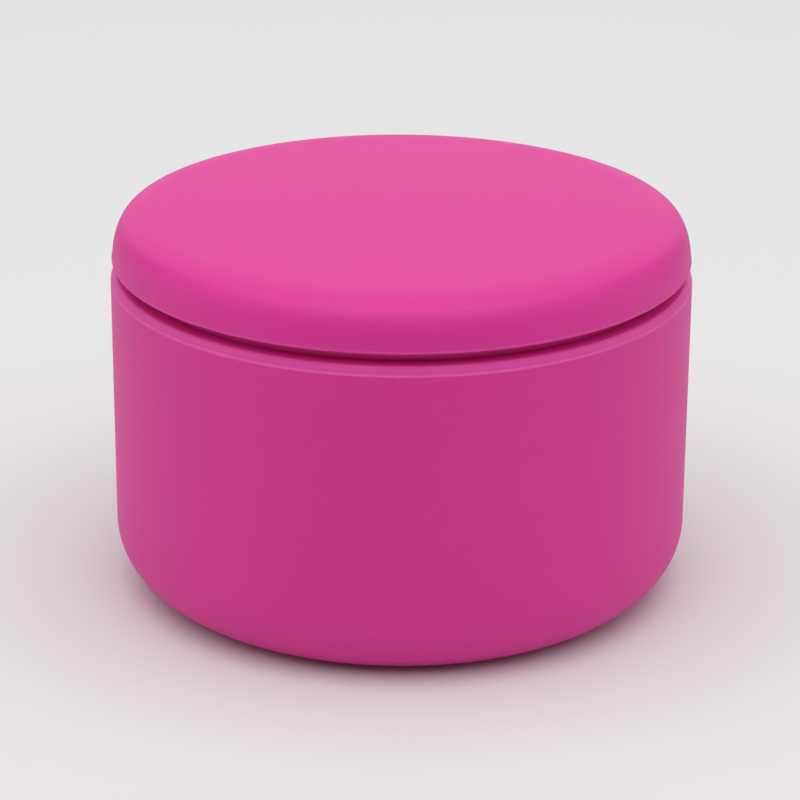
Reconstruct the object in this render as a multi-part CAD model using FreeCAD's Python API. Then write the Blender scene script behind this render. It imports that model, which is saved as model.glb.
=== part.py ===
"""Rock tumbler barrel with a twist-off lid: a round drum in a thick rubber jacket, closed by a lid whose
sealing plate hangs on a central pivot, so that the seal isn't dragged round as the lid is turned.

Millimetres. +Z is up, along the barrel's axis. The origin is the centre of the base, on the surface that the
barrel stands on. Every round piece is turned about Z from an outline of (radius, height) points.
"""
import FreeCAD
import Part
import math
import os

# ---- The barrel's outside ---------------------------------------------------------------------------------
barrel_diameter = 114.3      # over the rubber jacket, which rolls on the tumbler's two shafts
jacket_height = 64.7         # base to the jacket's flat rim
base_side_round = 13.0       # the corner between wall and base: radius of the arc next to the wall,
base_under_round = 14.5      # radius of the arc next to the base,
base_round_slope = 20.0      # and the slope, in degrees, at which one hands over to the other
jacket_wall = 3.95           # rubber on the wall, which is also the width of the rim
jacket_base = 4.0            # rubber under the drum
rim_chamfer_width = 1.0      # bevel round the rim
rim_chamfer_height = 1.6
rim_round = 0.35             # rounding of the bevel's two edges
foot_width = 9.85            # the flat ring that the barrel stands on, round a shallow panel
base_panel_depth = 0.8
base_panel_round = 0.5

# ---- The drum and the neck --------------------------------------------------------------------------------
bond_gap = 0.05              # glue line between pieces that are fixed to each other
drum_wall = 2.4
drum_base = 2.4
drum_corner = 9.3            # rounding between the drum's wall and base, outside
drum_below_rim = 2.7         # the drum's own edge lies this far below the jacket's rim
spigot_height = 4.4          # length of the joint between drum and neck ring
spigot_wall = 1.2            # the drum's wall where the neck ring is pushed over it
neck_above_rim = 7.3         # jacket's rim to the top of the neck
neck_wall = 2.6              # above the seat
seat_width = 2.8             # the ledge in the neck that the lid's seal is pressed on
seat_thickness = 1.6
neck_edge_round = 0.4

# ---- The rubber liner -------------------------------------------------------------------------------------
liner_sides = 10             # flats inside, which carry the load up the wall and let it tumble
liner_wall = 5.1             # at the middle of a flat
liner_corner = 6.0           # rounding of the corners between the flats
liner_floor_corner = 5.4     # rounding between the flats and the floor
liner_base = 4.0
liner_flange = 1.5           # flange clamped between the drum's edge and the neck ring
liner_slip = 0.15            # room to push the liner into the drum

# ---- The lid's outside ------------------------------------------------------------------------------------
lid_gap = 2.4                # open groove between the jacket's rim and the lid's lower edge
lid_edge_inset = 0.25        # the lid's lower edge lies this far inside the jacket's wall
lid_over_neck = 3.2          # the neck's top to the top of the ellipse that the lid's side follows
lid_side_width = 3.95        # width of that quarter of an ellipse
lid_side_end_slope = 21.0    # slope, in degrees, at which the side hands over to a larger arc
lid_blend_radius = 18.0      # that arc's radius
lid_crown_slope = 2.0        # slope at which it hands over to the very large arc of the top
lid_edge_round = 0.45
lid_skin_wall = 1.15         # rubber on the lid's side
lid_skin_top = 1.25          # rubber on the lid's top
lid_core_wall = 1.2
lid_core_top = 1.6
lid_core_shoulder = 4.4      # rounding of the lid core's outer shoulder
lid_core_inside_shoulder = 1.8   # rounding inside it, small enough to clear the neck's top edge

# ---- The twist closure ------------------------------------------------------------------------------------
lug_count = 4
lead = 20.0                  # rise of the lid in one full turn
lug_height = 1.25            # thickness of a lug along the axis
neck_lug_depth = 1.05        # how far a lug stands out of the neck
neck_lug_arc = 40.0          # degrees
lid_lug_arc = 24.0           # degrees
lug_clearance = 0.25         # between lid and neck, radially
lug_play = 0.2               # between a lid lug and the neck lug above it
neck_lug_below_top = 0.3     # from the neck's top down to the highest point of its lugs
lug_root = 0.4               # how deep a lug runs into the wall that it grows from

# ---- The sealing plate that hangs in the lid --------------------------------------------------------------
plate_side_gap = 0.6         # between the plug and the seat's bore
plate_thickness = 2.2
plug_wall = 2.0
plug_below_seat = 1.2        # how far the plug reaches below the seat's top
flange_above_seat = 1.8      # underside of the plate's flange above the seat
flange_thickness = 2.0
flange_width = 2.4           # how far the flange stands out of the plug
rail_width = 3.0             # raised ring that the lid presses on
plate_rib_count = 8
plate_rib_width = 1.6
plate_rib_height = 2.4
hub_radius = 8.8
hub_recess_radius = 7.4      # pocket under the hub that takes the screw's head and washer
hub_recess_depth = 2.4

# ---- Seal, slip ring and pivot ----------------------------------------------------------------------------
seal_seat_gap = 0.05         # between the seal's beads and the seat
seal_side_gap = 0.3          # between the seal and the neck's bore
seal_bead = 0.35             # height of the two round beads under the seal
seal_web = 0.6               # rubber round the edge of the flange
seal_lip = 0.75              # rubber over the flange
seal_lip_width = 1.9
slip_ring_thickness = 0.85
slip_ring_hook = 1.1         # how far the ring reaches down round the rail
slip_ring_hook_wall = 0.6
press_gap = 0.1              # between the slip ring and the lid's pressing ring
press_ring_drop = 1.0        # how far the pressing ring stands below the lid's ceiling

pivot_radius = 2.95          # the screw's plain shoulder, on which the plate turns
pivot_clearance = 0.05
screw_head_radius = 4.4
screw_head_height = 1.6
screw_thread_radius = 1.95
screw_thread_length = 3.2
screw_socket_flats = 2.5     # hexagon socket
screw_socket_depth = 1.0
washer_radius = 6.8
washer_thickness = 0.65
washer_gap = 0.1             # between washer and hub, so that the plate is free to turn
o_ring_section = 0.75        # radius of the cord of the O-ring round the pivot
insert_radius = 3.3
insert_length = 3.6
insert_groove = 0.4
boss_radius = 6.0
boss_drop = 4.0              # how far the boss stands below the lid's ceiling
boss_gap = 0.3               # between the lid's boss and the plate's hub
lid_rib_count = 8
lid_rib_width = 1.4
lid_rib_inset = 0.2          # how far the ribs' lower edges lie above the pressing ring's

AXIS = FreeCAD.Vector(0, 0, 1)
CENTRE = FreeCAD.Vector(0, 0, 0)

# ---- Sizes worked out from the ones above -----------------------------------------------------------------
barrel_radius = barrel_diameter / 2
base_slope = math.radians(base_round_slope)
side_round_centre = (
    barrel_radius - base_side_round,
    base_side_round * math.cos(base_slope) + base_under_round * (1 - math.cos(base_slope)),
)
base_flat_radius = side_round_centre[0] - (base_under_round - base_side_round) * math.sin(base_slope)
base_panel_radius = base_flat_radius - foot_width
neck_radius = barrel_radius - jacket_wall
neck_top = jacket_height + neck_above_rim
neck_bore = neck_radius - neck_wall
seat_bore = neck_bore - seat_width

drum_radius = neck_radius - bond_gap
drum_bore = drum_radius - drum_wall
drum_bottom = jacket_base + bond_gap
drum_floor = drum_bottom + drum_base
drum_edge = jacket_height - drum_below_rim
spigot_radius = drum_bore + spigot_wall

liner_radius = drum_bore - liner_slip
liner_flat = liner_radius - liner_wall
liner_bottom = drum_floor + bond_gap
liner_floor = liner_bottom + liner_base
liner_top = drum_edge + bond_gap + liner_flange
liner_corner_outside = drum_corner - drum_wall - liner_slip

seat_underside = liner_top + bond_gap
seat_top = seat_underside + seat_thickness

lid_bottom = jacket_height + lid_gap
lid_radius = barrel_radius - lid_edge_inset
lid_core_radius = lid_radius - lid_skin_wall - bond_gap
lid_bore = lid_core_radius - lid_core_wall

lid_side_height = neck_above_rim - lid_gap + lid_over_neck
side_end = math.atan2(lid_side_height, lid_side_width * math.tan(math.radians(lid_side_end_slope)))
side_end_radius = lid_radius - lid_side_width * (1 - math.cos(side_end))
side_end_z = lid_bottom + lid_side_height * math.sin(side_end)
blend_centre_radius = side_end_radius - lid_blend_radius * math.sin(math.radians(lid_side_end_slope))
blend_centre_z = side_end_z - lid_blend_radius * math.cos(math.radians(lid_side_end_slope))
crown_edge_radius = blend_centre_radius + lid_blend_radius * math.sin(math.radians(lid_crown_slope))
crown_edge_z = blend_centre_z + lid_blend_radius * math.cos(math.radians(lid_crown_slope))
crown_arc = crown_edge_radius / math.sin(math.radians(lid_crown_slope))
lid_top_z = crown_edge_z + crown_arc * (1 - math.cos(math.radians(lid_crown_slope)))
lid_core_top_z = lid_top_z - lid_skin_top - bond_gap
lid_ceiling = lid_core_top_z - lid_core_top

neck_lug_radius = neck_radius + neck_lug_depth
lid_lug_radius = neck_radius + lug_clearance
rise_per_degree = lead / 360
neck_lug_underside = neck_top - neck_lug_below_top - lug_height - rise_per_degree * neck_lug_arc / 2
lid_lug_underside = neck_lug_underside - lug_play - lug_height

plug_radius = seat_bore - plate_side_gap
plate_bottom = seat_top - plug_below_seat
plate_top = plate_bottom + plate_thickness
flange_bottom = seat_top + flange_above_seat
flange_top = flange_bottom + flange_thickness
flange_radius = plug_radius + flange_width
hub_underside = plate_bottom + hub_recess_depth

ceiling_at_rail = lid_ceiling - crown_arc + math.sqrt(crown_arc ** 2 - plug_radius ** 2)
press_ring_bottom = ceiling_at_rail - press_ring_drop
slip_ring_top = press_ring_bottom - press_gap
slip_ring_bottom = slip_ring_top - slip_ring_thickness
rail_top = slip_ring_bottom - bond_gap

boss_bottom = lid_ceiling - boss_drop
hub_top = boss_bottom - boss_gap
insert_top = boss_bottom + insert_length
washer_top = hub_underside - washer_gap
washer_bottom = washer_top - washer_thickness
screw_head_top = washer_bottom
screw_head_bottom = screw_head_top - screw_head_height
pivot_bore = pivot_radius + pivot_clearance
o_ring_z = (hub_underside + hub_top) / 2
o_ring_radius = pivot_bore + bond_gap + o_ring_section
o_ring_groove_radius = o_ring_radius + o_ring_section + bond_gap
o_ring_groove_height = 2 * (o_ring_section + bond_gap)


# ---- Helpers ----------------------------------------------------------------------------------------------
def at(radius, height):
    """A point of an outline, in the plane in which outlines are drawn."""
    return FreeCAD.Vector(radius, 0, height)


def turned(edges):
    """The solid that a closed outline sweeps when it is turned once about Z."""
    shapes = [edge if isinstance(edge, Part.Edge) else edge.toShape() for edge in edges]
    outline = Part.Wire(Part.__sortEdges__(shapes))
    return Part.Face(outline).revolve(CENTRE, AXIS, 360)


def lines(*points):
    """Straight edges through (radius, height) points."""
    places = [at(*point) for point in points]
    return [Part.LineSegment(a, b) for a, b in zip(places, places[1:])]


def turned_polygon(*points):
    """A turned solid with straight outline edges."""
    return turned(lines(*points, points[0]))


def ring(inner, outer, bottom, top):
    """A plain ring with a rectangular section, or a disc where inner is 0."""
    return turned_polygon((inner, bottom), (outer, bottom), (outer, top), (inner, top))


def round_rings(solid, size, *rings):
    """Rounds the circular edges of a turned solid that lie at the given (radius, height) places."""
    found = []
    for edge in solid.Edges:
        if edge.Degenerated:
            continue
        curve = edge.Curve
        if isinstance(curve, Part.Circle) and math.hypot(curve.Center.x, curve.Center.y) < 1e-6:
            place = (curve.Radius, curve.Center.z)
            if any(math.dist(place, wanted) < 1e-3 for wanted in rings):
                found.append(edge)
    if len(found) < len(rings):
        raise ValueError(f"{len(rings)} edges wanted at {rings}, {len(found)} found")
    return solid.makeFillet(size, found)


def arc_lug(inner, outer, underside, arc, middle_angle):
    """A lug that follows the closure's helix: arc degrees long, centred on middle_angle, lug_height thick.
    underside is the height of its lower face at its middle."""
    half = arc / 2
    spine = Part.makeHelix(lead, rise_per_degree * arc, inner)
    section = Part.makePolygon([at(inner, 0), at(outer, 0), at(outer, lug_height), at(inner, lug_height), at(inner, 0)])
    lug = Part.Wire(spine.Edges).makePipeShell([section], True, True)
    lug.rotate(CENTRE, AXIS, middle_angle - half)
    lug.translate(FreeCAD.Vector(0, 0, underside - rise_per_degree * half))
    return lug


def lug_ring(inner, outer, underside, arc):
    """The closure's lugs, evenly spaced."""
    return [arc_lug(inner, outer, underside, arc, 360 * i / lug_count) for i in range(lug_count)]


def spokes(count, width, inner, outer, bottom, top):
    """Straight ribs from one radius to another, evenly spaced."""
    made = []
    for i in range(count):
        rib = Part.makeBox(outer - inner, width, top - bottom, FreeCAD.Vector(inner, -width / 2, bottom))
        rib.rotate(CENTRE, AXIS, 360 * (i + 0.5) / count)
        made.append(rib)
    return made


def joined(first, others):
    """One solid made of several that touch, added one after another."""
    for other in others:
        first = first.fuse(other)
    return first.removeSplitter()


# ---- Pieces -----------------------------------------------------------------------------------------------
def rounded_arc(centre, radius, start, end):
    """An arc round (radius, height), between two slopes in radians: 0 is straight down, pi / 2 straight out."""
    middle = (start + end) / 2
    places = [at(centre[0] + radius * math.sin(t), centre[1] - radius * math.cos(t)) for t in (start, middle, end)]
    return Part.Arc(*places)


def barrel_jacket():
    """Thick moulded rubber round the drum's wall and base, with a bevelled rim."""
    chamfer_bottom = jacket_height - rim_chamfer_height
    chamfer_top = barrel_radius - rim_chamfer_width
    under = rounded_arc((base_flat_radius, base_under_round), base_under_round, 0, base_slope)
    side = rounded_arc(side_round_centre, base_side_round, base_slope, math.pi / 2)
    cup = turned([under, side] + lines(
        (barrel_radius, side_round_centre[1]), (barrel_radius, chamfer_bottom), (chamfer_top, jacket_height),
        (neck_radius, jacket_height), (neck_radius, jacket_base), (0, jacket_base), (0, 0), (base_flat_radius, 0),
    ))
    cup = round_rings(cup, drum_corner + bond_gap, (neck_radius, jacket_base))
    cup = round_rings(cup, rim_round, (barrel_radius, chamfer_bottom), (chamfer_top, jacket_height))
    panel = ring(0, base_panel_radius, -base_panel_depth, base_panel_depth)
    panel = round_rings(panel, base_panel_round, (base_panel_radius, base_panel_depth))
    return cup.cut(panel)


def drum_core():
    """The stiff drum inside the jacket, with a thinner spigot at its mouth."""
    spigot_bottom = drum_edge - spigot_height
    cup = turned_polygon(
        (0, drum_bottom), (drum_radius, drum_bottom), (drum_radius, spigot_bottom),
        (spigot_radius, spigot_bottom), (spigot_radius, drum_edge), (drum_bore, drum_edge),
        (drum_bore, drum_floor), (0, drum_floor),
    )
    cup = round_rings(cup, drum_corner, (drum_radius, drum_bottom))
    return round_rings(cup, drum_corner - drum_wall, (drum_bore, drum_floor))


def neck_ring():
    """The neck: a socket over the drum's spigot, a seat for the lid's seal, and the closure's lugs."""
    socket_bore = spigot_radius + bond_gap
    socket_bottom = drum_edge - spigot_height + bond_gap
    neck = turned_polygon(
        (socket_bore, socket_bottom), (neck_radius - bond_gap, socket_bottom),
        (neck_radius - bond_gap, jacket_height), (neck_radius, jacket_height),
        (neck_radius, neck_top), (neck_bore, neck_top), (neck_bore, seat_top), (seat_bore, seat_top),
        (seat_bore, seat_underside), (socket_bore, seat_underside),
    )
    neck = round_rings(neck, neck_edge_round, (neck_radius, neck_top), (neck_bore, neck_top), (seat_bore, seat_top))
    return joined(neck, lug_ring(neck_radius - lug_root, neck_lug_radius, neck_lug_underside, neck_lug_arc))


def liner_cavity():
    """The space inside the liner: flat sides with rounded corners, rounded into the floor."""
    corner_radius = liner_flat / math.cos(math.pi / liner_sides)
    height = liner_top - liner_floor
    corners = []
    for i in range(liner_sides + 1):
        angle = 2 * math.pi * (i + 0.5) / liner_sides
        corners.append(FreeCAD.Vector(corner_radius * math.cos(angle), corner_radius * math.sin(angle), liner_floor))
    prism = Part.Face(Part.makePolygon(corners)).extrude(FreeCAD.Vector(0, 0, height))
    uprights = [e for e in prism.Edges if abs(e.Vertexes[0].Z - e.Vertexes[1].Z) > height / 2]
    prism = prism.makeFillet(liner_corner, uprights)
    floor_edges = [e for e in prism.Edges if all(abs(v.Z - liner_floor) < 1e-6 for v in e.Vertexes)]
    return prism.makeFillet(liner_floor_corner, floor_edges)


def barrel_liner():
    """The wear liner, with a flange that the neck ring clamps."""
    blank = turned_polygon(
        (0, liner_bottom), (liner_radius, liner_bottom), (liner_radius, drum_edge + bond_gap),
        (spigot_radius, drum_edge + bond_gap), (spigot_radius, liner_top), (0, liner_top),
    )
    blank = round_rings(blank, liner_corner_outside, (liner_radius, liner_bottom))
    return blank.cut(liner_cavity())


def crown_height(radius):
    """How far the top of the lid has fallen, at this radius, below its middle."""
    return crown_arc - math.sqrt(crown_arc ** 2 - radius ** 2)


def lid_outline():
    """The lid's outer skin, from its lower edge over the shoulder to the middle of the top."""
    ellipse = Part.Ellipse(at(0, lid_side_height), at(lid_side_width, 0), CENTRE)
    ellipse.Center = at(lid_radius - lid_side_width, lid_bottom)
    side = ellipse.toShape(*sorted([ellipse.parameter(at(lid_radius, lid_bottom)),
                                    ellipse.parameter(at(side_end_radius, side_end_z))]))
    middle_slope = math.radians((lid_side_end_slope + lid_crown_slope) / 2)
    blend_middle = at(blend_centre_radius + lid_blend_radius * math.sin(middle_slope),
                      blend_centre_z + lid_blend_radius * math.cos(middle_slope))
    blend = Part.Arc(at(side_end_radius, side_end_z), blend_middle, at(crown_edge_radius, crown_edge_z))
    crown = domed_line(crown_edge_radius, lid_top_z)
    return [side, blend.toShape(), crown.toShape()]


def domed_line(radius, middle_height):
    """The arc of the lid's crown, from this radius to the middle, where it reaches middle_height."""
    return Part.Arc(
        at(radius, middle_height - crown_height(radius)),
        at(radius / 2, middle_height - crown_height(radius / 2)),
        at(0, middle_height),
    )


def domed_disc(radius, bottom, middle_height, corner):
    """A disc with the lid's crown on top and a rounded upper corner."""
    edge_height = middle_height - crown_height(radius)
    disc = turned([domed_line(radius, middle_height)] + lines(
        (0, middle_height), (0, bottom), (radius, bottom), (radius, edge_height),
    ))
    return round_rings(disc, corner, (radius, edge_height))


def lid_jacket():
    """Moulded rubber over the lid's top and side."""
    blank = turned(lid_outline() + lines((0, lid_top_z), (0, lid_bottom), (lid_radius, lid_bottom)))
    blank = round_rings(blank, lid_edge_round, (lid_radius, lid_bottom))
    core = domed_disc(lid_core_radius + bond_gap, lid_bottom - 1, lid_core_top_z + bond_gap, lid_core_shoulder)
    return blank.cut(core)


def lid_core():
    """The stiff lid, with its ceiling ribs, pressing ring, pivot boss and lugs."""
    blank = domed_disc(lid_core_radius, lid_bottom, lid_core_top_z, lid_core_shoulder)
    hollow = domed_disc(lid_bore, lid_bottom - 1, lid_ceiling, lid_core_inside_shoulder)
    shell = blank.cut(hollow)
    press_outer = plug_radius
    press_inner = plug_radius - rail_width + bond_gap
    inside_top = lid_ceiling + lid_core_top / 2
    press_ring = ring(press_inner, press_outer, press_ring_bottom, lid_ceiling)
    boss = ring(0, boss_radius, boss_bottom, inside_top)
    ribs = spokes(lid_rib_count, lid_rib_width, boss_radius - 1, press_inner + 1,
                  press_ring_bottom + lid_rib_inset, lid_ceiling + lid_rib_inset)
    lugs = lug_ring(lid_lug_radius, lid_bore + lug_root, lid_lug_underside, lid_lug_arc)
    shell = joined(shell, [press_ring, boss] + ribs + lugs)
    return shell.cut(ring(0, insert_radius, boss_bottom - 1, insert_top))


def inner_lid():
    """The stiff plate that closes the barrel: a shallow pan with a flange, a rail, ribs and a pivot hub."""
    pan = turned_polygon(
        (0, plate_bottom), (plug_radius, plate_bottom), (plug_radius, flange_bottom),
        (flange_radius, flange_bottom), (flange_radius, flange_top), (plug_radius, flange_top),
        (plug_radius, rail_top), (plug_radius - rail_width, rail_top), (plug_radius - rail_width, flange_top),
        (plug_radius - plug_wall, flange_top - flange_thickness / 2),
        (plug_radius - plug_wall, plate_top), (0, plate_top),
    )
    hub = ring(0, hub_radius, plate_bottom, hub_top)
    ribs = spokes(plate_rib_count, plate_rib_width, hub_radius - 1, plug_radius - plug_wall / 2,
                  plate_top - 0.5, plate_top + plate_rib_height)
    pan = joined(pan, [hub] + ribs)
    pocket = ring(0, hub_recess_radius, plate_bottom - 1, hub_underside)
    bore = ring(0, pivot_bore, plate_bottom, hub_top + 1)
    groove = ring(0, o_ring_groove_radius, o_ring_z - o_ring_groove_height / 2, o_ring_z + o_ring_groove_height / 2)
    return pan.cut([pocket, bore, groove])


def lid_seal():
    """Rubber channel round the plate's flange, with two round beads that meet the seat."""
    inner = plug_radius + bond_gap
    outer = neck_bore - seal_side_gap
    web = outer - seal_web
    bottom = seat_top + seal_seat_gap + seal_bead
    floor = flange_bottom - bond_gap
    lip_bottom = flange_top + bond_gap
    lip_top = lip_bottom + seal_lip
    lip_inner = outer - seal_lip_width
    channel = turned_polygon(
        (inner, bottom), (outer, bottom), (outer, lip_top), (lip_inner, lip_top), (lip_inner, lip_bottom),
        (web, lip_bottom), (web, floor), (inner, floor),
    )
    spacing = (outer - inner) / 4
    beads = [
        Part.makeTorus(radius, seal_bead * 2, FreeCAD.Vector(0, 0, bottom + seal_bead), AXIS)
        for radius in (inner + spacing, outer - spacing)
    ]
    return joined(channel, beads)


def slip_ring():
    """Low-friction ring between the lid's pressing ring and the plate's rail, hooked over the rail."""
    outer = plug_radius + bond_gap + slip_ring_hook_wall
    inner = plug_radius - rail_width
    return turned_polygon(
        (inner, slip_ring_bottom), (plug_radius + bond_gap, slip_ring_bottom),
        (plug_radius + bond_gap, slip_ring_bottom - slip_ring_hook), (outer, slip_ring_bottom - slip_ring_hook),
        (outer, slip_ring_top), (inner, slip_ring_top),
    )


def pivot_screw():
    """Shoulder screw: a low round head, a plain shoulder that the plate turns on, and a threaded end."""
    screw = turned_polygon(
        (0, screw_head_bottom), (screw_head_radius, screw_head_bottom), (screw_head_radius, screw_head_top),
        (pivot_radius, screw_head_top), (pivot_radius, boss_bottom), (screw_thread_radius, boss_bottom),
        (screw_thread_radius, boss_bottom + screw_thread_length), (0, boss_bottom + screw_thread_length),
    )
    screw = round_rings(screw, screw_head_height / 2, (screw_head_radius, screw_head_bottom))
    point = screw_socket_flats / 2 / math.cos(math.pi / 6)
    corners = [
        FreeCAD.Vector(point * math.cos(math.radians(60 * i)), point * math.sin(math.radians(60 * i)), screw_head_bottom)
        for i in range(7)
    ]
    return screw.cut(Part.Face(Part.makePolygon(corners)).extrude(FreeCAD.Vector(0, 0, screw_socket_depth)))


def pivot_washer():
    """Washer under the screw's head."""
    return ring(pivot_bore, washer_radius, washer_bottom, washer_top)


def pivot_o_ring():
    """O-ring in the hub, round the screw's shoulder."""
    return Part.makeTorus(o_ring_radius, o_ring_section, FreeCAD.Vector(0, 0, o_ring_z), AXIS)


def pivot_insert():
    """Threaded insert in the lid's boss, with a groove between its two gripping bands."""
    waist_bottom = boss_bottom + insert_length * 0.4
    waist_top = boss_bottom + insert_length * 0.6
    bore = screw_thread_radius + bond_gap
    waist = insert_radius - insert_groove
    outer = insert_radius - bond_gap / 2
    return turned_polygon(
        (bore, boss_bottom), (outer, boss_bottom), (outer, waist_bottom), (waist, waist_bottom),
        (waist, waist_top), (outer, waist_top), (outer, insert_top - bond_gap), (bore, insert_top - bond_gap),
    )


PIECES = [
    barrel_jacket, drum_core, neck_ring, barrel_liner, lid_jacket, lid_core, inner_lid, lid_seal, slip_ring,
    pivot_screw, pivot_washer, pivot_o_ring, pivot_insert,
]


def main():
    os.makedirs("parts", exist_ok=True)
    for piece in PIECES:
        shape = piece()
        solids = shape.Solids
        print(piece.__name__, "valid" if shape.isValid() else "NOT VALID", len(solids), "solid",
              round(shape.Volume, 1), "mm3", "z", round(shape.BoundBox.ZMin, 2), round(shape.BoundBox.ZMax, 2),
              "x", round(shape.BoundBox.XMax, 2))
        Part.makeCompound(solids).exportStep(f"parts/{piece.__name__}.step")


main()
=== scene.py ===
# Looks of the rock tumbler barrel: pink rubber outside, black wear rubber inside, and the lid's sealing
# plate with its seal, slip ring and pivot. Outlines are drawn in millimetres as (radius, height) and
# turned about Z. The finished pieces are in metres.
import bmesh
import bpy
import math
from mathutils import Matrix, Vector


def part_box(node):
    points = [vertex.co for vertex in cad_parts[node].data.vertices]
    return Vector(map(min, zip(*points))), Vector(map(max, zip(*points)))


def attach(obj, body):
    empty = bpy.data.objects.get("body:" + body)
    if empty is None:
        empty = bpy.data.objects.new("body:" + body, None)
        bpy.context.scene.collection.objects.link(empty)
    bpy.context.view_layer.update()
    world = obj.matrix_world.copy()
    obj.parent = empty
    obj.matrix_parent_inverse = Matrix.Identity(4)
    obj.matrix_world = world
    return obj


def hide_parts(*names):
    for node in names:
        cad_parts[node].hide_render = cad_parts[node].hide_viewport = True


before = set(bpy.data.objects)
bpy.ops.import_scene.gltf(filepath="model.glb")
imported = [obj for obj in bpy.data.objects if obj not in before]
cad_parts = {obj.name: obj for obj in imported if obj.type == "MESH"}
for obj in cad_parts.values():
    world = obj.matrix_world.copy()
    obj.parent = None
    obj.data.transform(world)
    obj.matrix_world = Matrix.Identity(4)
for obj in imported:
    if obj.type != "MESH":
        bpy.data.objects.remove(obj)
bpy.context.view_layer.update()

MM = 0.001
UP = (0, 0, 1)
AXIS_POINT = (0, 0, 0)


# ---- Sizes, in millimetres ------------------------------------------------------------------------------
def outer_radius(node):
    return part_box(node)[1].x / MM


def bottom_of(node):
    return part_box(node)[0].z / MM


def top_of(node):
    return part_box(node)[1].z / MM


barrel_radius = outer_radius("barrel_jacket")
jacket_height = top_of("barrel_jacket")
jacket_wall = 3.95
jacket_base = 4.0
base_side_round = 13.0
base_under_round = 14.5
base_round_slope = math.radians(20)
foot_width = 9.85
base_panel_depth = 0.8
base_panel_round = 0.5
panel_edge_round = 0.3
rim_chamfer_width = 1.0
rim_chamfer_height = 1.6
rim_lip = 0.3                # the flat step that the mould leaves at the bevel's lower edge
rim_lip_round = 0.15
rim_lip_turn = 75
rim_edge_round = 0.2
mouth_round = 0.15
drum_corner = 9.35

neck_radius = barrel_radius - jacket_wall
neck_top = top_of("neck_ring")
neck_bottom = bottom_of("neck_ring")
neck_bore = 50.6
neck_socket = 52.0
seat_bore = 47.8
seat_top = 65.2
seat_underside = 63.6
lead = 20.0
lug_count = 4
lug_height = 1.25
lug_edge = 0.18              # the lug's bevelled outer edges
lug_root = 0.3               # how far its inner face lies inside the neck's wall
lug_steps = 28
neck_edge_round = 0.4
seat_corner = 0.3
bond_gap = 0.05
neck_lug_arc = 40.0
neck_lug_depth = 1.05
neck_lug_below_top = 0.3

liner_radius = 50.6
liner_flat = 45.5
liner_sides = 10
liner_corner = 6.0
liner_floor_corner = 5.4
liner_corner_outside = 6.75
liner_floor = 10.5
liner_bottom = bottom_of("barrel_liner")
liner_top = top_of("barrel_liner")
liner_flange_radius = outer_radius("barrel_liner")
liner_flange = 1.5

lid_radius = outer_radius("lid_jacket")
lid_bottom = bottom_of("lid_jacket")
lid_top = top_of("lid_jacket")
lid_side_height = 8.1
lid_side_width = 3.95
lid_side_end_slope = math.radians(21)
lid_blend_radius = 18.0
lid_crown_slope = math.radians(2)
lid_edge_round = 0.4
lid_edge_lip = 0.14
lid_skin_wall = 1.15
lid_skin_top = 1.25
lid_core_shoulder = 4.4
lid_core_side = 5.7          # how far under the core's top its straight side ends
lid_core_flat = 30.0
lid_core_crown = 0.35

plug_radius = 47.2
flange_radius = outer_radius("inner_lid")
flange_bottom = 67.0
flange_top = 69.0
seal_bottom = bottom_of("lid_seal")
seal_top = top_of("lid_seal")
seal_radius = 50.3
seal_bead = 0.35             # how far the beads stand out of the seal's underside
seal_under_round = 0.25
seal_top_round = 0.3
seal_lip_width = 1.9
flange_gap = 0.1

TURN_STEPS = 256


# ---- Turned pieces --------------------------------------------------------------------------------------
class Outline:
    """A line of points in the plane of X and Z, drawn from one end to the other, then turned about Z."""

    def __init__(self, radius, height):
        self.mesh = bmesh.new()
        self.start = self.mesh.verts.new((radius, 0, height))
        self.end = self.start

    def line(self, radius, height, steps=1):
        """Straight to a point, in equal steps."""
        start = self.end.co.copy()
        goal = Vector((radius, 0, height))
        for i in range(steps):
            point = self.mesh.verts.new(start.lerp(goal, (i + 1) / steps))
            self.mesh.edges.new((self.end, point))
            self.end = point
        return self

    def arc(self, centre_radius, centre_height, degrees, steps):
        """Round a centre. Positive degrees go from the top over to the outside."""
        centre = (centre_radius, 0, centre_height)
        made = bmesh.ops.spin(self.mesh, geom=[self.end], cent=centre, axis=(0, 1, 0),
                              angle=math.radians(degrees), steps=steps)
        self.end = [part for part in made["geom_last"] if isinstance(part, bmesh.types.BMVert)][0]
        return self

    def closed(self):
        self.mesh.edges.new((self.end, self.start))
        return self

    def turned(self, steps=TURN_STEPS):
        bmesh.ops.spin(self.mesh, geom=self.mesh.verts[:] + self.mesh.edges[:], cent=AXIS_POINT, axis=UP,
                       angle=2 * math.pi, steps=steps, use_merge=True)
        bmesh.ops.remove_doubles(self.mesh, verts=self.mesh.verts, dist=1e-4)
        bmesh.ops.dissolve_degenerate(self.mesh, edges=self.mesh.edges, dist=1e-5)
        bmesh.ops.recalc_face_normals(self.mesh, faces=self.mesh.faces)
        return self.mesh


def finished(name, mesh, body, node, material, sharp=40):
    """Makes the piece from its mesh in millimetres, and puts it in its CAD node's place."""
    bmesh.ops.scale(mesh, vec=(MM, MM, MM), verts=mesh.verts)
    data = bpy.data.meshes.new(name)
    mesh.to_mesh(data)
    mesh.free()
    data.shade_smooth()
    data.set_sharp_from_angle(angle=math.radians(sharp))
    piece = bpy.data.objects.new(name, data)
    bpy.context.scene.collection.objects.link(piece)
    data.materials.append(material)
    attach(piece, body)
    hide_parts(node)
    return piece


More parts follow.
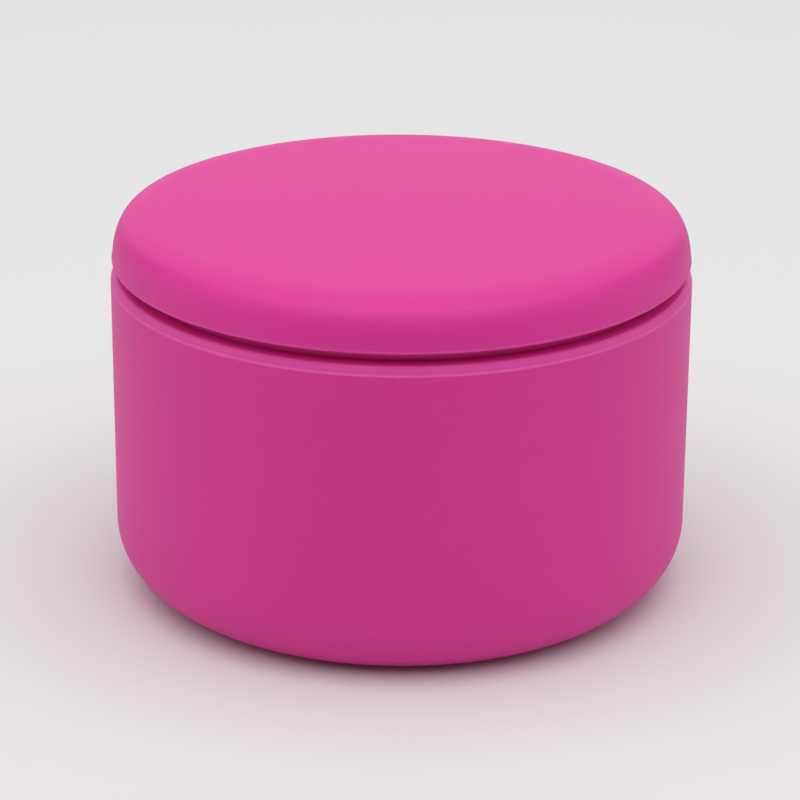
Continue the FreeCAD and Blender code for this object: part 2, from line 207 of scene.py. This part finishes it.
# ---- Shader maths ---------------------------------------------------------------------------------------
class Field:
    """A number that varies over a surface: a shader socket that can be used in sums."""

    def __init__(self, finish, socket):
        self.finish = finish
        self.socket = socket

    def combined(self, operation, a, b):
        return self.finish.node("ShaderNodeMath", {"operation": operation}, {0: a, 1: b})

    def __add__(self, other):
        return self.combined("ADD", self, other)

    __radd__ = __add__

    def __sub__(self, other):
        return self.combined("SUBTRACT", self, other)

    def __rsub__(self, other):
        return self.combined("SUBTRACT", other, self)

    def __mul__(self, other):
        return self.combined("MULTIPLY", self, other)

    __rmul__ = __mul__


class Finish:
    """A material round one Principled shader."""

    def __init__(self, name, **constants):
        self.material = bpy.data.materials.new(name)
        self.material.use_nodes = True
        self.tree = self.material.node_tree
        self.shader = self.tree.nodes["Principled BSDF"]
        for socket, value in constants.items():
            self.shader.inputs[socket.replace("_", " ")].default_value = value
        self.place = self.node("ShaderNodeTexCoord", output="Object")

    def node(self, kind, settings=None, inputs=None, output=0):
        """Adds a node, sets it up, joins its inputs, and returns one of its outputs."""
        made = self.tree.nodes.new(kind)
        for key, value in (settings or {}).items():
            if key == "stops":
                self.set_stops(made.color_ramp, value)
            else:
                setattr(made, key, value)
        for key, value in (inputs or {}).items():
            self.join(value, made.inputs[key])
        return Field(self, made.outputs[output])

    def join(self, value, socket):
        if isinstance(value, Field):
            self.tree.links.new(value.socket, socket)
        else:
            socket.default_value = value

    def set_stops(self, ramp, stops):
        while len(ramp.elements) < len(stops):
            ramp.elements.new(0.5)
        for element, (position, colour) in zip(ramp.elements, stops):
            element.position = position
            element.color = colour

    def noise(self, size, detail=2.0, roughness=0.5, along_axis=None):
        """Cloudy noise from 0 to 1 whose patches are about this many millimetres across. Along_axis below 1
        spreads them up and down, and above 1 squeezes them."""
        place = self.place
        if along_axis:
            place = self.node("ShaderNodeMapping", {}, {"Vector": place, "Scale": (1, 1, 1 / along_axis)})
        return self.node("ShaderNodeTexNoise", {}, {
            "Vector": place, "Scale": 1 / (size * MM), "Detail": detail, "Roughness": roughness})

    def specks(self, spacing, share):
        """Small round dots, one to each cell of this many millimetres, as wide as this share of it."""
        gap = self.node("ShaderNodeTexVoronoi", {}, {"Vector": self.place, "Scale": 1 / (spacing * MM)})
        return self.ramp(gap, (share * 0.5, 1), (share, 0))

    def rings(self, pitch):
        """Rings round the axis, this many millimetres apart."""
        settings = {"wave_type": "RINGS", "rings_direction": "Z"}
        sockets = {"Vector": self.place, "Scale": math.pi / (10 * pitch * MM), "Distortion": 0.3}
        return self.node("ShaderNodeTexWave", settings, sockets)

    def height(self):
        """Height above the floor in millimetres."""
        split = self.node("ShaderNodeSeparateXYZ", {}, {"Vector": self.place}, output="Z")
        return split * (1 / MM)

    def above(self, start, span):
        """From 0 at this height up to 1 this many millimetres higher."""
        return self.ramp((self.height() - start) * (1 / span), (0, 0), (1, 1))

    def band(self, middle, half_width):
        """1 at this height, fading to 0 this many millimetres above and below it."""
        away = (self.height() - middle) * (0.5 / half_width) + 0.5
        return self.ramp(away, (0, 0), (0.5, 1), (1, 0))

    def ramp(self, field, *stops):
        grey = [(position, (level, level, level, 1)) for position, level in stops]
        return self.node("ShaderNodeValToRGB", {"stops": grey}, {0: field})

    def mixed(self, share, first, second):
        """A colour between two colours."""
        return self.node("ShaderNodeMix", {"data_type": "RGBA"}, {0: share, 6: first, 7: second}, output=2)

    def relief(self, height, depth):
        """Bumps of this many millimetres at full height."""
        normal = self.node("ShaderNodeBump", {}, {"Height": height, "Distance": depth * MM, "Strength": 1.0})
        self.join(normal, self.shader.inputs["Normal"])

    def varies(self, **sockets):
        for socket, value in sockets.items():
            self.join(value, self.shader.inputs[socket.replace("_", " ")])


def shade(colour, factor):
    return (colour[0] * factor, colour[1] * factor, colour[2] * factor, 1)


PINK = (0.735, 0.020, 0.305)
PALE_PINK = (0.92, 0.22, 0.60, 1)


def moulded_rubber(name, *highlight_bands):
    """Soft rubber coloured right through: matt, with the mould's fine grain and a few specks of dust. Each
    pale band is a painted highlight along an edge, with its height and half its width, both in millimetres,
    and how pale it is painted."""
    finish = Finish(name)
    cloud = finish.noise(45, 3)
    grain = finish.noise(0.35, 2, 0.6)
    pores = finish.noise(1.6, 3, 0.6)
    specks = finish.specks(5.0, 0.05)
    painted_highlight = sum(finish.band(height, half_width) * paleness for height, half_width, paleness in highlight_bands)
    colour = finish.mixed(cloud, shade(PINK, 0.97), shade(PINK, 1.03))
    # Painted highlight: the bands are lightened patchily towards pale pink where light would catch the
    # edges.
    colour = finish.mixed(painted_highlight * (0.6 + 0.8 * finish.noise(6, 2)), colour, PALE_PINK)
    finish.varies(
        Base_Color=finish.mixed(specks * 0.2, colour, PALE_PINK),
        Roughness=0.48 + 0.05 * cloud + 0.06 * pores,
    )
    finish.relief(grain * 0.6 + pores * 0.4 + specks * 0.8, 0.02)
    return finish.material


def coloured_plastic():
    """The stiff plastic of the neck and the lid's core, with fine rub marks round the axis. Its pink is
    lighter than the rubber's as painted light that brightens the shaded groove.
    """
    finish = Finish("coloured_plastic")
    cloud = finish.noise(30, 2)
    grain = finish.noise(0.25, 2, 0.6)
    rubs = finish.ramp(finish.noise(1.2, 4, 0.7, along_axis=0.15), (0.55, 0), (0.75, 1))
    # Painted light: the pink is raised to 1.12 to 1.24 times the rubber's so the neck looks lit inside the
    # shaded groove.
    colour = finish.mixed(cloud, shade(PINK, 1.12), shade(PINK, 1.24))
    finish.varies(
        Base_Color=finish.mixed(rubs * 0.12, colour, PALE_PINK),
        Roughness=0.32 + 0.08 * cloud + 0.12 * rubs,
    )
    finish.relief(grain, 0.008)
    return finish.material


def wear_rubber():
    """The liner's black rubber, scuffed by grit, with dried grey slurry low down and in its corners."""
    finish = Finish("liner_rubber")
    scuffs = finish.ramp(finish.noise(0.8, 4, 0.75), (0.45, 0), (0.7, 1))
    cloud = finish.noise(14, 4, 0.6)
    dust = finish.ramp(cloud + finish.above(liner_floor, 16) * -0.5, (0.12, 0), (0.5, 1))
    colour = finish.mixed(scuffs * 0.5, (0.018, 0.018, 0.020, 1), (0.055, 0.054, 0.055, 1))
    finish.varies(
        Base_Color=finish.mixed(dust * 0.35, colour, (0.23, 0.215, 0.20, 1)),
        Roughness=0.5 + 0.2 * scuffs + 0.15 * dust,
    )
    finish.relief(scuffs * 0.6 + finish.noise(0.3, 2, 0.6) * 0.4, 0.05)
    return finish.material


def black_rubber(name, colour, rough):
    """Moulded seals: smooth black rubber with a slight bloom and fine pores."""
    finish = Finish(name)
    bloom = finish.ramp(finish.noise(7, 4, 0.65), (0.4, 0), (0.75, 1))
    pores = finish.specks(0.9, 0.12)
    base = finish.mixed(bloom * 0.5, shade(colour, 0.85), shade(colour, 1.8))
    finish.varies(Base_Color=base, Roughness=rough - 0.06 + 0.16 * bloom)
    finish.relief(pores * -0.5 + finish.noise(0.25, 2, 0.6) * 0.3, 0.012)
    return finish.material


def moulded_plastic(name, colour, rough, grain_depth=0.02):
    """Stiff moulded plastic: a fine spark-eroded grain, faint flow marks and a few rubs."""
    finish = Finish(name)
    flow = finish.noise(16, 3, 0.55)
    grain = finish.noise(0.4, 2, 0.7)
    rubs = finish.ramp(finish.noise(1.5, 5, 0.75, along_axis=0.2), (0.58, 0), (0.72, 1))
    base = finish.mixed(flow, shade(colour, 0.9), shade(colour, 1.1))
    finish.varies(
        Base_Color=finish.mixed(rubs * 0.25, base, shade(colour, 1.9)),
        Roughness=rough - 0.05 + 0.1 * flow + 0.1 * rubs,
    )
    finish.relief(grain, grain_depth)
    return finish.material


def waxy_plastic():
    """The slip ring's self-oiling plastic: off-white, slightly cloudy, polished in rings where it slides."""
    finish = Finish("slip_plastic", Specular_IOR_Level=0.4)
    cloud = finish.noise(5, 3, 0.5)
    rings = finish.rings(0.35)
    finish.varies(
        Base_Color=finish.mixed(cloud, (0.74, 0.72, 0.66, 1), (0.82, 0.81, 0.77, 1)),
        Roughness=0.26 + 0.1 * cloud + 0.08 * rings,
    )
    finish.relief(rings * 0.6 + finish.noise(0.3, 2) * 0.4, 0.006)
    return finish.material


def turned_metal(name, colour, rough, pitch):
    """Metal cut on a lathe: fine rings this many millimetres apart, and a little tarnish."""
    finish = Finish(name)
    rings = finish.rings(pitch)
    tarnish = finish.ramp(finish.noise(2.5, 4, 0.65), (0.45, 0), (0.8, 1))
    finish.varies(
        Base_Color=finish.mixed(tarnish * 0.6, shade(colour, 1.0), shade(colour, 0.62)),
        Roughness=rough + 0.1 * rings + 0.18 * tarnish,
        Metallic=1.0 - 0.12 * tarnish,
    )
    finish.relief(rings, 0.006)
    return finish.material


# ---- The pieces -----------------------------------------------------------------------------------------
def barrel_jacket(rubber):
    """Thick rubber with a rounded base, a panel underneath and a bevelled rim."""
    side_radius = barrel_radius - base_side_round
    level = math.cos(base_round_slope)
    side_height = base_side_round * level + base_under_round * (1 - level)
    flat_radius = side_radius - (base_under_round - base_side_round) * math.sin(base_round_slope)
    panel_radius = flat_radius - foot_width
    slope = math.degrees(base_round_slope)
    chamfer_bottom = jacket_height - rim_chamfer_height
    chamfer_top = barrel_radius - rim_chamfer_width
    outline = Outline(0, base_panel_depth)
    outline.line(panel_radius - base_panel_round, base_panel_depth, 3)
    outline.arc(panel_radius - base_panel_round, base_panel_depth - base_panel_round, 90, 6)
    outline.arc(panel_radius + panel_edge_round, panel_edge_round, -90, 4)
    outline.line(flat_radius, 0, 2)
    outline.arc(flat_radius, base_under_round, -slope, 10)
    outline.arc(side_radius, side_height, slope - 90, 24)
    outline.line(barrel_radius, chamfer_bottom - rim_lip_round, 8)
    outline.arc(barrel_radius - rim_lip_round, chamfer_bottom - rim_lip_round, -rim_lip_turn, 5)
    outline.line(barrel_radius - rim_lip, chamfer_bottom + 0.02)
    outline.line(chamfer_top + 0.6 * rim_edge_round, jacket_height - rim_edge_round, 2)
    outline.line(chamfer_top - 0.1 * rim_edge_round, jacket_height - 0.25 * rim_edge_round)
    outline.line(chamfer_top - rim_edge_round, jacket_height)
    outline.line(neck_radius + mouth_round, jacket_height, 2)
    outline.line(neck_radius, jacket_height - mouth_round)
    outline.line(neck_radius, jacket_base + drum_corner, 2)
    outline.arc(neck_radius - drum_corner, jacket_base + drum_corner, 90, 12)
    outline.line(0, jacket_base)
    return finished("barrel_rubber", outline.turned(), "barrel", "barrel_jacket", rubber)


def lid_jacket(rubber):
    """The domed rubber skin of the lid, with the thin lip that its mould leaves round the lower edge."""
    side_end = math.atan2(lid_side_height, lid_side_width * math.tan(lid_side_end_slope))
    end_radius = lid_radius - lid_side_width * (1 - math.cos(side_end))
    end_height = lid_bottom + lid_side_height * math.sin(side_end)
    blend_radius = end_radius - lid_blend_radius * math.sin(lid_side_end_slope)
    blend_height = end_height - lid_blend_radius * math.cos(lid_side_end_slope)
    crown_radius = blend_radius + lid_blend_radius * math.sin(lid_crown_slope)
    crown_arc = crown_radius / math.sin(lid_crown_slope)
    core_radius = lid_radius - lid_skin_wall
    core_top = lid_top - lid_skin_top
    outline = Outline(0, lid_top)
    outline.arc(0, lid_top - crown_arc, math.degrees(lid_crown_slope), 16)
    outline.arc(blend_radius, blend_height, math.degrees(lid_side_end_slope - lid_crown_slope), 14)
    steps = 26
    lip_turn = math.asin(lid_edge_round * 1.5 / lid_side_height)
    for i in range(1, steps + 1):
        turn = side_end + (lip_turn - side_end) * i / steps
        radius = lid_radius - lid_edge_lip - (lid_side_width - lid_edge_lip) * (1 - math.cos(turn))
        outline.line(radius, lid_bottom + lid_side_height * math.sin(turn))
    outline.line(lid_radius - 0.03, lid_bottom + lid_edge_round)
    outline.arc(lid_radius - lid_edge_round, lid_bottom + lid_edge_round, 90, 6)
    outline.line(core_radius, lid_bottom)
    outline.line(core_radius, core_top - lid_core_side, 2)
    outline.arc(core_radius - lid_core_shoulder, core_top - lid_core_side, -75, 10)
    outline.line(lid_core_flat, core_top - lid_core_crown)
    outline.line(0, core_top)
    return finished("lid_rubber", outline.turned(), "cap", "lid_jacket", rubber)


def lug(mesh, inner, outer, underside, arc, middle_angle):
    """A thread lug: a section with bevelled outer edges, swept along the thread and closed at both ends."""
    low = underside - lead * arc / 720
    high = low + lug_height
    corners = [(inner, low), (outer - lug_edge, low), (outer, low + lug_edge), (outer, high - lug_edge),
               (outer - lug_edge, high), (inner, high)]
    section = mesh.faces.new([mesh.verts.new((radius, 0, height)) for radius, height in corners])
    start = math.radians(middle_angle - arc / 2)
    around = Matrix.Rotation(start, 3, "Z")
    bmesh.ops.rotate(mesh, verts=section.verts[:], cent=AXIS_POINT, matrix=around)
    bmesh.ops.duplicate(mesh, geom=[section])
    climb = lead * arc / 360 / lug_steps
    bmesh.ops.spin(mesh, geom=section.edges[:] + section.verts[:] + [section], cent=AXIS_POINT, axis=UP,
                   dvec=(0, 0, climb), angle=math.radians(arc), steps=lug_steps)


def neck_ring(plastic):
    """The neck, with the seat for the seal inside it and the closure's lugs outside."""
    edge = neck_edge_round
    outline = Outline(neck_socket, neck_bottom)
    outline.line(neck_radius - bond_gap, neck_bottom)
    outline.line(neck_radius - bond_gap, jacket_height)
    outline.line(neck_radius, jacket_height + 0.02)
    outline.line(neck_radius, neck_top - edge, 2)
    outline.arc(neck_radius - edge, neck_top - edge, -90, 6)
    outline.line(neck_bore + edge, neck_top, 2)
    outline.arc(neck_bore + edge, neck_top - edge, -90, 6)
    outline.line(neck_bore, seat_top + seat_corner, 2)
    outline.arc(neck_bore - seat_corner, seat_top + seat_corner, 90, 4)
    outline.line(seat_bore + edge, seat_top, 2)
    outline.arc(seat_bore + edge, seat_top - edge, -90, 6)
    outline.line(seat_bore, seat_underside)
    outline.line(neck_socket, seat_underside)
    outline.closed()
    mesh = outline.turned()
    underside = neck_top - neck_lug_below_top - lug_height - lead * neck_lug_arc / 720
    inner = neck_radius - lug_root
    outer = neck_radius + neck_lug_depth
    for i in range(lug_count):
        lug(mesh, inner, outer, underside, neck_lug_arc, 360 * i / lug_count)
    bmesh.ops.remove_doubles(mesh, verts=mesh.verts, dist=1e-4)
    bmesh.ops.recalc_face_normals(mesh, faces=mesh.faces)
    return finished("neck", mesh, "barrel", "neck_ring", plastic)


def barrel_liner(rubber):
    """The liner: a round cup outside, flat sides with rounded corners inside, and a clamped flange."""
    outer = Outline(0, liner_bottom)
    outer.line(liner_radius - liner_corner_outside, liner_bottom, 2)
    outer.arc(liner_radius - liner_corner_outside, liner_bottom + liner_corner_outside, -90, 10)
    outer.line(liner_radius, liner_top - liner_flange, 2)
    outer.line(liner_flange_radius, liner_top - liner_flange)
    outer.line(liner_flange_radius, liner_top)
    mesh = outer.turned()
    rim = [edge for edge in mesh.edges if edge.is_boundary]
    corner_radius = liner_flat / math.cos(math.pi / liner_sides)
    cavity = bmesh.ops.create_circle(mesh, cap_ends=True, radius=corner_radius, segments=liner_sides)
    turn = Matrix.Rotation(math.pi / liner_sides, 3, "Z")
    bmesh.ops.rotate(mesh, verts=cavity["verts"], cent=AXIS_POINT, matrix=turn)
    bmesh.ops.translate(mesh, verts=cavity["verts"], vec=(0, 0, liner_floor))
    floor = cavity["verts"][0].link_faces[0]
    reach = liner_corner * math.tan(math.pi / liner_sides)
    bmesh.ops.bevel(mesh, geom=floor.verts[:], offset=reach, offset_type="OFFSET", segments=8, profile=0.5,
                    affect="VERTICES", material=-1)
    floor = [face for face in mesh.faces if len(face.verts) > 20][0]
    walls = bmesh.ops.extrude_face_region(mesh, geom=[floor], use_keep_orig=True)
    mouth = [part for part in walls["geom"] if isinstance(part, bmesh.types.BMFace)][0]
    bmesh.ops.translate(mesh, verts=mouth.verts[:], vec=(0, 0, liner_top - liner_floor))
    mouth_edges = mouth.edges[:]
    bmesh.ops.delete(mesh, geom=[mouth], context="FACES_ONLY")
    mouth_soft = [edge for edge in mouth_edges if edge.is_valid]
    bmesh.ops.bridge_loops(mesh, edges=rim + mouth_soft)
    bmesh.ops.bevel(mesh, geom=floor.edges[:], offset=liner_floor_corner, offset_type="OFFSET", segments=10,
                    profile=0.5, affect="EDGES", material=-1)
    bmesh.ops.remove_doubles(mesh, verts=mesh.verts, dist=1e-4)
    bmesh.ops.recalc_face_normals(mesh, faces=mesh.faces)
    return finished("liner", mesh, "barrel", "barrel_liner", rubber, sharp=50)


def lid_seal(rubber):
    """The seal: a channel round the plate's flange, with two round beads underneath."""
    inner = plug_radius + bond_gap
    groove_radius = flange_radius + flange_gap
    lip_radius = seal_radius - seal_lip_width
    body_bottom = seal_bottom + seal_bead
    spacing = (seal_radius - inner) / 4
    bead = 2 * seal_bead
    dip = math.degrees(math.acos(0.5))
    half = bead * math.sin(math.radians(dip))
    outline = Outline(inner, flange_bottom - bond_gap)
    outline.line(inner, body_bottom)
    for centre in (inner + spacing, seal_radius - spacing):
        outline.line(centre - half, body_bottom)
        outline.arc(centre, seal_bottom + bead, -2 * dip, 10)
    outline.line(seal_radius - seal_under_round, body_bottom)
    outline.arc(seal_radius - seal_under_round, body_bottom + seal_under_round, -90, 4)
    outline.line(seal_radius, seal_top - seal_top_round)
    outline.arc(seal_radius - seal_top_round, seal_top - seal_top_round, -90, 4)
    outline.line(lip_radius, seal_top)
    outline.line(lip_radius, flange_top + bond_gap)
    outline.line(groove_radius, flange_top + bond_gap)
    outline.line(groove_radius, flange_bottom - bond_gap)
    outline.closed()
    return finished("seal", outline.turned(), "inner_lid", "lid_seal", rubber)


# ---- Making them: finish and base colour of each piece --------------------------------------------------
plastic = coloured_plastic()
bevel_bottom = jacket_height - rim_chamfer_height
bevel_middle = jacket_height - rim_chamfer_height / 2
# The pale bands on the rim's bevel and along the lid's lower lip are painted highlights and painted light.
barrel_jacket(moulded_rubber("barrel_rubber", (bevel_bottom, 0.35, 0.35), (bevel_middle, 1.2, 0.22)))
lid_jacket(moulded_rubber("lid_rubber", (lid_bottom + lid_edge_round, 0.35, 0.15)))
neck_ring(plastic)
barrel_liner(wear_rubber())
lid_seal(black_rubber("seal_rubber", (0.030, 0.030, 0.033), 0.45))
CARRIED = {
    "lid_core": plastic,
    "drum_core": moulded_plastic("drum_plastic", (0.10, 0.10, 0.11), 0.45),
    "inner_lid": moulded_plastic("plate_plastic", (0.035, 0.035, 0.038), 0.42),
    "pivot_o_ring": black_rubber("ring_rubber", (0.02, 0.02, 0.02), 0.35),
    "slip_ring": waxy_plastic(),
    "pivot_screw": turned_metal("screw_steel", (0.62, 0.62, 0.60), 0.22, 0.3),
    "pivot_washer": turned_metal("washer_steel", (0.60, 0.60, 0.59), 0.28, 0.45),
    "pivot_insert": turned_metal("insert_brass", (0.76, 0.54, 0.22), 0.25, 0.25),
}
for node, material in CARRIED.items():
    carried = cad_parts[node]
    carried.data.materials.clear()
    carried.data.materials.append(material)


# ---- Studio ---------------------------------------------------------------------------------------------
def studio():
    """A pale floor under broad lights. The room gives little light, but the camera sees it white."""
    scene = bpy.context.scene
    scene.view_settings.view_transform = "Standard"
    world = bpy.data.worlds.new("studio")
    scene.world = world
    world.use_nodes = True
    nodes = world.node_tree.nodes
    links = world.node_tree.links
    room = nodes["Background"]
    room.inputs["Color"].default_value = (1, 1, 1, 1)
    room.inputs["Strength"].default_value = 0.1
    backdrop = nodes.new("ShaderNodeBackground")
    backdrop.inputs["Color"].default_value = (1, 1, 1, 1)
    backdrop.inputs["Strength"].default_value = 1.0
    seen = nodes.new("ShaderNodeLightPath")
    mix = nodes.new("ShaderNodeMixShader")
    links.new(seen.outputs["Is Camera Ray"], mix.inputs[0])
    links.new(room.outputs[0], mix.inputs[1])
    links.new(backdrop.outputs[0], mix.inputs[2])
    links.new(mix.outputs[0], nodes["World Output"].inputs["Surface"])
    floor_mesh = bmesh.new()
    bmesh.ops.create_grid(floor_mesh, x_segments=1, y_segments=1, size=2.1)
    data = bpy.data.meshes.new("floor")
    floor_mesh.to_mesh(data)
    floor_mesh.free()
    floor = bpy.data.objects.new("floor", data)
    scene.collection.objects.link(floor)
    paper = Finish("paper", Roughness=0.9)
    paper.varies(Base_Color=paper.mixed(paper.noise(300), (0.78, 0.78, 0.78, 1), (0.80, 0.80, 0.80, 1)))
    data.materials.append(paper.material)
    soft_light("overhead", (0, -0.3, 1.45), (2.4, 2.4), 30)
    soft_light("back", (0, 2.2, 0.85), (4.0, 1.7), 19)
    soft_light("left", (-2.2, -0.1, 0.9), (2.4, 1.7), 11)
    soft_light("right", (2.2, -0.1, 0.9), (2.4, 1.7), 11)


def soft_light(name, place, size, power):
    """A broad panel of light that faces the object."""
    light = bpy.data.lights.new(name, "AREA")
    light.shape = "RECTANGLE"
    light.size = size[0]
    light.size_y = size[1]
    light.energy = power
    lamp = bpy.data.objects.new(name, light)
    lamp.location = place
    lamp.rotation_euler = (-Vector(place)).to_track_quat("-Z", "Y").to_euler()
    lamp.visible_camera = False
    bpy.context.scene.collection.objects.link(lamp)


def camera():
    """From the front and a little above, far enough away for the barrel to look nearly straight-sided."""
    radius = barrel_radius * MM
    elevation = math.radians(21.23)
    distance = 11.28 * radius
    roll = 0.0061
    target = Vector((0, 0, 0.7 * radius))
    place = target + distance * Vector((0, -math.cos(elevation), math.sin(elevation)))
    aim = Vector((-0.0025 * radius, 0, 0.63 * radius))
    data = bpy.data.cameras.new("camera")
    data.lens = 145.2
    data.sensor_width = 36
    view = bpy.data.objects.new("camera", data)
    bpy.context.scene.collection.objects.link(view)
    view.location = place
    look = (aim - place).to_track_quat("-Z", "Y").to_matrix().to_4x4()
    view.matrix_world = Matrix.Translation(place) @ look @ Matrix.Rotation(roll, 4, "Z")
    bpy.context.scene.camera = view


studio()
camera()
